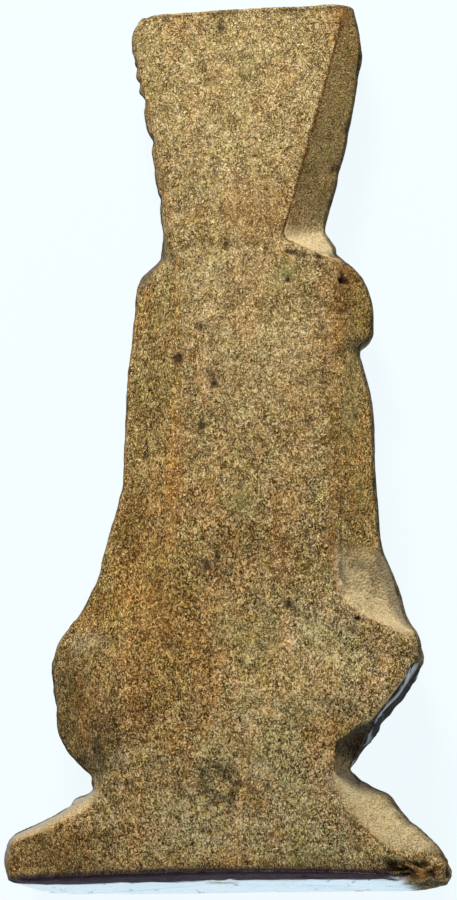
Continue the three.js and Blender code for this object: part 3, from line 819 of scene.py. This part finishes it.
stoneLook = {
    # shades of the grains, from the gaps between them to the brightest
    "shades": ((0.0, (0.060, 0.029, 0.005, 1)), (0.26, (0.195, 0.118, 0.036, 1)),
               (0.50, (0.350, 0.246, 0.102, 1)), (0.76, (0.53, 0.410, 0.205, 1)),
               (1.0, (0.76, 0.63, 0.38, 1))),
    # how far the grains under the umber and buff marks move along the shades
    "umber": -0.30,
    "buff": 0.24,
    # these multiply the stone's own shades; the crown's facet one is painted shade, where it turns from
    # the lamp
    "chamfer": (1.0, 0.96, 0.84, 1),
    "crownFacetShade": (0.70, 0.67, 0.58, 1),
    "warm": (1.06, 0.89, 0.67, 1),
    # these cover the stone
    "gap": (0.030, 0.014, 0.003, 1),
    "glint": (0.86, 0.76, 0.54, 1),
    "rusty": (0.33, 0.14, 0.03, 1),
    "mossy": (0.20, 0.22, 0.07, 1),
    "dusky": (0.050, 0.028, 0.016, 1),
    # paler stone, partly painted light
    "pale": (0.68, 0.58, 0.36, 1),
    # painted light on the facets that face the lamp
    "fresh": (0.55, 0.445, 0.255, 1),
    "seam": (0.085, 0.035, 0.010, 1),
    # painted shade
    "dark": (0.020, 0.014, 0.006, 1),
    # painted shade with a cool sheen on the facets' rims
    "rim": (0.115, 0.115, 0.085, 1),
    # painted highlight on the base's left rim
    "ash": (0.34, 0.32, 0.27, 1),
    # painted shade at the outlines
    "outline": (0.036, 0.028, 0.020, 1),
    "slate": (0.036, 0.036, 0.036, 1),
    # painted highlight on the wall under the hip
    "highlightLine": (0.42, 0.46, 0.50, 1),
    # painted reflection: the underside's pale cool colour and its dark dashes stand for the bright
    # floor mirrored in its worn, smooth face
    "underside": (0.40, 0.46, 0.50, 1),
    "dash": (0.12, 0.13, 0.17, 1),
    # painted shade along the base's shown edge
    "baseEdgeShade": (0.030, 0.018, 0.024, 1),
    # covers, the lowest first: the mark, its colour, and the grain values and shares between
    # which it follows the grains
    "covers": (("pale", "pale", (0.40, 0.56, 0.15, 0.8)), ("fresh", "fresh", (0.40, 0.56, 0.3, 0.8)),
               ("ridge", "rusty", (0.60, 0.44, 0.1, 0.75)), ("seam", "seam", (0.62, 0.46, 0.45, 1)),
               ("pit", "dusky", None), ("dark", "dark", (0.62, 0.42, 0.7, 1)), ("rim", "rim", None),
               ("ash", "ash", None), ("outline", "outline", (0.62, 0.42, 0.5, 0.9))),
    "pitShare": (0.15, 0.9, 0, 0.9),
    "stainedGrains": (0.64, 0.42, 0.3, 0.9),
    # patterns: cells per millimetre, detail, roughness, and distortion where it has any
    "patterns": {
        "grain": (6.6, 1.5, 0.6, 1.2), "facetGrain": (6.5, 1.5, 0.6, 0.6),
        "gap": (3.3, 1.0, 0.5, 1.4), "gapPatch": (1.3, 2.0, 0.6),
        "glint": (4.3, 1.0, 0.5, 1.4), "glintPatch": (2.0, 2.0, 0.6),
        "patch": (0.75, 3.0, 0.6), "broad": (0.16, 2.0, 0.5), "speck": (10.5, 0.0, 0.5),
        "hue": (2.1, 3.0, 0.7), "drift": (0.42, 3.0, 0.6), "paleness": (1.5, 2.0, 0.6),
        "fleck": (1.5, 3.0, 0.65), "blot": (1.1, 4.0, 0.7),
        "streak": (2.2, 3.0, 0.6), "dash": (2.2, 4.0, 0.65, 0.2), "stripe": (1.0, 2.0, 0.55, 0.3),
    },
    # and how much finer they are across, along and through the piece than that
    "finer": {
        **dict.fromkeys(("grain", "gap", "glint"), (1.1, 0.74, 1.1)),
        "drift": (1, 0.4, 1), "paleness": (1, 0.7, 1),
        "streak": (0.3, 1.6, 1.6), "dash": (0.5, 0.5, 0.22),
    },
    "stripeScale": (250, 900, 620),  # cells per metre along and across the wall under the hip
    "stripeTurn": -56,  # degrees, the direction of that wall
    # slivers: how near they lie to their pattern's middle value, and their patches' values
    "gapSliver": (0.060, 0.40, 0.54),
    "glintSliver": (0.034, 0.46, 0.62),
    # tints: the pattern, its values from none to full tint, and the colour that multiplies
    "tints": (("hue", 0.48, 0.70, (1.10, 0.93, 0.74, 1)), ("hue", 0.52, 0.32, (0.89, 1.01, 0.82, 1)),
              ("drift", 0.48, 0.66, (1.14, 0.92, 0.72, 1)), ("drift", 0.52, 0.34, (0.90, 1.0, 0.84, 1)),
              ("paleness", 0.46, 0.30, (0.97, 0.96, 0.68, 1)),
              ("paleness", 0.54, 0.70, (1.02, 1.03, 1.10, 1))),
    "tintShares": {"hue": (0.35, 0.65), "drift": (0.35, 0.65), "paleness": (0.6, 1)},  # head, lower
    # stains by chance: the pattern, its values, and their shares
    "scattered": {"rusty": ("fleck", 0.54, 0.70, 0, 0.35), "mossy": ("fleck", 0.38, 0.26, 0, 0.35),
                  "dusky": ("blot", 0.64, 0.74, 0, 0.6)},
    "roughness": (0.75, 0.55),  # of the gaps and of the brightest grains
    "polished": (0.06, 0.35),  # of the walls and the underside, from streak to streak
    "specular": 0.05,
    "grainHeight": 0.00020,  # metres
}


def stoneMaterial(look):
    # Noise picks each grain's shade from a ramp, tints multiply it, and slivers, stains and covers lie
    # over it, among them
    #     painted shade, highlights and reflections. Roughness and bump follow the grain, except where
    #     the stone is worn smooth
    material = bpy.data.materials.new("worn stone")
    material.use_nodes = True
    tree = material.node_tree
    nodes, links = tree.nodes, tree.links
    shader = nodes["Principled BSDF"]

    def add(kind, **settings):
        node = nodes.new(kind)
        for name, value in settings.items():
            setattr(node, name, value)
        return node

    def mapped(source, **settings):
        node = add("ShaderNodeMapping")
        for name, value in settings.items():
            node.inputs[name].default_value = value
        links.new(source, node.inputs["Vector"])
        return node.outputs["Vector"]

    def noise(source, scale, detail, roughness, distortion=0.0):
        node = add("ShaderNodeTexNoise")
        for name, value in (("Scale", scale), ("Detail", detail), ("Roughness", roughness),
                            ("Distortion", distortion)):
            node.inputs[name].default_value = value
        links.new(source, node.inputs["Vector"])
        return node.outputs["Fac"]

    def pattern(name):
        # The named noise in object space, in cells per millimetre
        finer = look["finer"].get(name, (1, 1, 1))
        if finer not in spaces:
            spaces[finer] = mapped(place, Scale=tuple(share / millimetre for share in finer))
        return noise(spaces[finer], *look["patterns"][name])

    def spread(value, low, high, start=0.0, end=1.0):
        node = add("ShaderNodeMapRange")
        links.new(value, node.inputs["Value"])
        for name, number in (("From Min", low), ("From Max", high), ("To Min", start),
                             ("To Max", end)):
            node.inputs[name].default_value = number
        return node.outputs["Result"]

    def combine(operation, first, second):
        node = add("ShaderNodeMath", operation=operation)
        for value, socket in ((first, node.inputs[0]), (second, node.inputs[1])):
            if isinstance(value, float):
                socket.default_value = value
            else:
                links.new(value, socket)
        return node.outputs["Value"]

    def blend(share, first, second, mode="MIX"):
        # a colour mix has its colours in sockets 6 and 7
        node = add("ShaderNodeMix", data_type="RGBA", blend_type=mode)
        links.new(share, node.inputs[0])
        for value, socket in ((first, node.inputs[6]), (second, node.inputs[7])):
            if isinstance(value, tuple):
                socket.default_value = value
            else:
                links.new(value, socket)
        return node.outputs[2]

    def mixed(share, first, second):
        node = add("ShaderNodeMix", data_type="FLOAT")
        for value, socket in ((share, 0), (first, 2), (second, 3)):
            links.new(value, node.inputs[socket])
        return node.outputs[0]

    def mark(name):
        return add("ShaderNodeAttribute", attribute_name=name).outputs["Fac"]

    place = add("ShaderNodeTexCoord").outputs["Object"]
    spaces = {}
    lower, facet = mark("lower"), mark("facet")
    grain = mixed(facet, pattern("grain"), spread(pattern("facetGrain"), 0, 1, 0.10, 0.90))

    # short curved gaps between the grains, and bright slivers on them
    def sliver(name):
        width, low, high = look[name + "Sliver"]
        apart = combine("ABSOLUTE", combine("SUBTRACT", pattern(name), 0.5), 0.0)
        return combine("MULTIPLY", spread(apart, width, width * 0.25),
                       spread(pattern(name + "Patch"), low, high))

    gap = combine("MULTIPLY", sliver("gap"), spread(facet, 0, 1, 1, 0.35))
    gap = combine("MULTIPLY", gap, spread(lower, 0, 1, 0.8, 1))
    glint = sliver("glint")

    ramp = add("ShaderNodeValToRGB")
    stops = ramp.color_ramp.elements
    first, *between, last = look["shades"]
    stops[0].position, stops[0].color = first
    stops[-1].position, stops[-1].color = last
    for position, color in between:
        stops.new(position).color = color
    shade = mixed(lower, spread(grain, 0.28, 0.72), spread(grain, 0.37, 0.63))
    speck = combine("MULTIPLY", spread(pattern("speck"), 0.3, 0.7, -0.20, 0.20),
                    spread(facet, 0, 1, 1, 0.7))
    for amount in (spread(pattern("patch"), 0.3, 0.7, -0.08, 0.08),
                   spread(pattern("broad"), 0.3, 0.7, -0.09, 0.09), speck,
                   combine("MULTIPLY", mark("umber"), look["umber"]),
                   combine("MULTIPLY", mark("buff"), look["buff"])):
        shade = combine("ADD", shade, amount)
    links.new(shade, ramp.inputs["Fac"])
    stone = ramp.outputs["Color"]
    stone = blend(spread(glint, 0, 1, 0, 0.62), stone, look["glint"])
    stone = blend(spread(gap, 0, 1, 0, 0.95), stone, look["gap"])

    # the tints wander from grain to grain and in long patches, most of all below the middle
    tinted = {name: (pattern(name), spread(lower, 0, 1, *shares))
              for name, shares in look["tintShares"].items()}
    for name, low, high, tint in look["tints"]:
        source, share = tinted[name]
        stone = blend(combine("MULTIPLY", share, spread(source, low, high)), stone, tint, "MULTIPLY")
    # the chamfers' tint, the painted shade on the crown's right facet, and the warm patches
    for name in ("chamfer", "crownFacetShade", "warm"):
        stone = blend(mark(name), stone, look[name], "MULTIPLY")

    # stains, both scattered and placed, then the covers, some of which are painted shade and painted
    # light
    chance = {name: pattern(name) for name in ("fleck", "blot")}
    for name, (source, *values) in look["scattered"].items():
        placed = combine("MULTIPLY", mark(name), spread(grain, *look["stainedGrains"]))
        share = combine("MAXIMUM", spread(chance[source], *values), placed)
        stone = blend(share, stone, look[name])
    for name, color, grains in look["covers"]:
        share = mark(name)
        if grains:
            share = combine("MULTIPLY", share, spread(grain, *grains))
        if name == "pit":
            share = spread(share, *look["pitShare"])
        stone = blend(share, stone, look[color])

    # the wall under the hip, near-black with painted highlight streaks, and the underside painted pale
    # as a reflection, with its dark line of painted shade
    wall = mapped(place, Rotation=(0, 0, math.radians(look["stripeTurn"])))
    stripe = noise(mapped(wall, Scale=look["stripeScale"]), *look["patterns"]["stripe"])
    highlightStreaks = combine("MAXIMUM", spread(stripe, 0.54, 0.60), mark("highlightLine"))
    glossAndReflection, underside, baseEdgeShade = mark("glossAndReflection"), mark("underside"), mark("baseEdgeShade")
    stone = blend(glossAndReflection, stone, blend(highlightStreaks, look["slate"], look["highlightLine"]))
    dash = spread(pattern("dash"), 0.40, 0.34)
    stone = blend(underside, stone, blend(dash, look["underside"], look["dash"]))
    stone = blend(baseEdgeShade, stone, look["baseEdgeShade"])
    links.new(stone, shader.inputs["Base Color"])

    worn = combine("MAXIMUM", combine("MULTIPLY", glossAndReflection, highlightStreaks), underside)
    worn = combine("MULTIPLY", worn, spread(baseEdgeShade, 0, 1, 1, 0))
    matt = spread(grain, 0.38, 0.62, *look["roughness"])
    polished = spread(pattern("streak"), 0.4, 0.65, *look["polished"])
    links.new(mixed(worn, matt, polished), shader.inputs["Roughness"])
    shader.inputs["Specular IOR Level"].default_value = look["specular"]

    bump = add("ShaderNodeBump")
    bump.inputs["Strength"].default_value = 1.0
    bump.inputs["Distance"].default_value = look["grainHeight"]
    rough = combine("SUBTRACT", 1.0, worn)
    grainRelief = combine("SUBTRACT", grain, spread(gap, 0, 1, 0, 0.35))
    links.new(combine("MULTIPLY", grainRelief, rough), bump.inputs["Height"])
    links.new(bump.outputs["Normal"], shader.inputs["Normal"])
    return material


figurineObject = bpy.data.objects.new("carved_figurine", figurineMesh())
bpy.context.collection.objects.link(figurineObject)
figurineObject.data.materials.append(stoneMaterial(stoneLook))
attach(figurineObject, "root")
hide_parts("figurine")
print("figurine made")
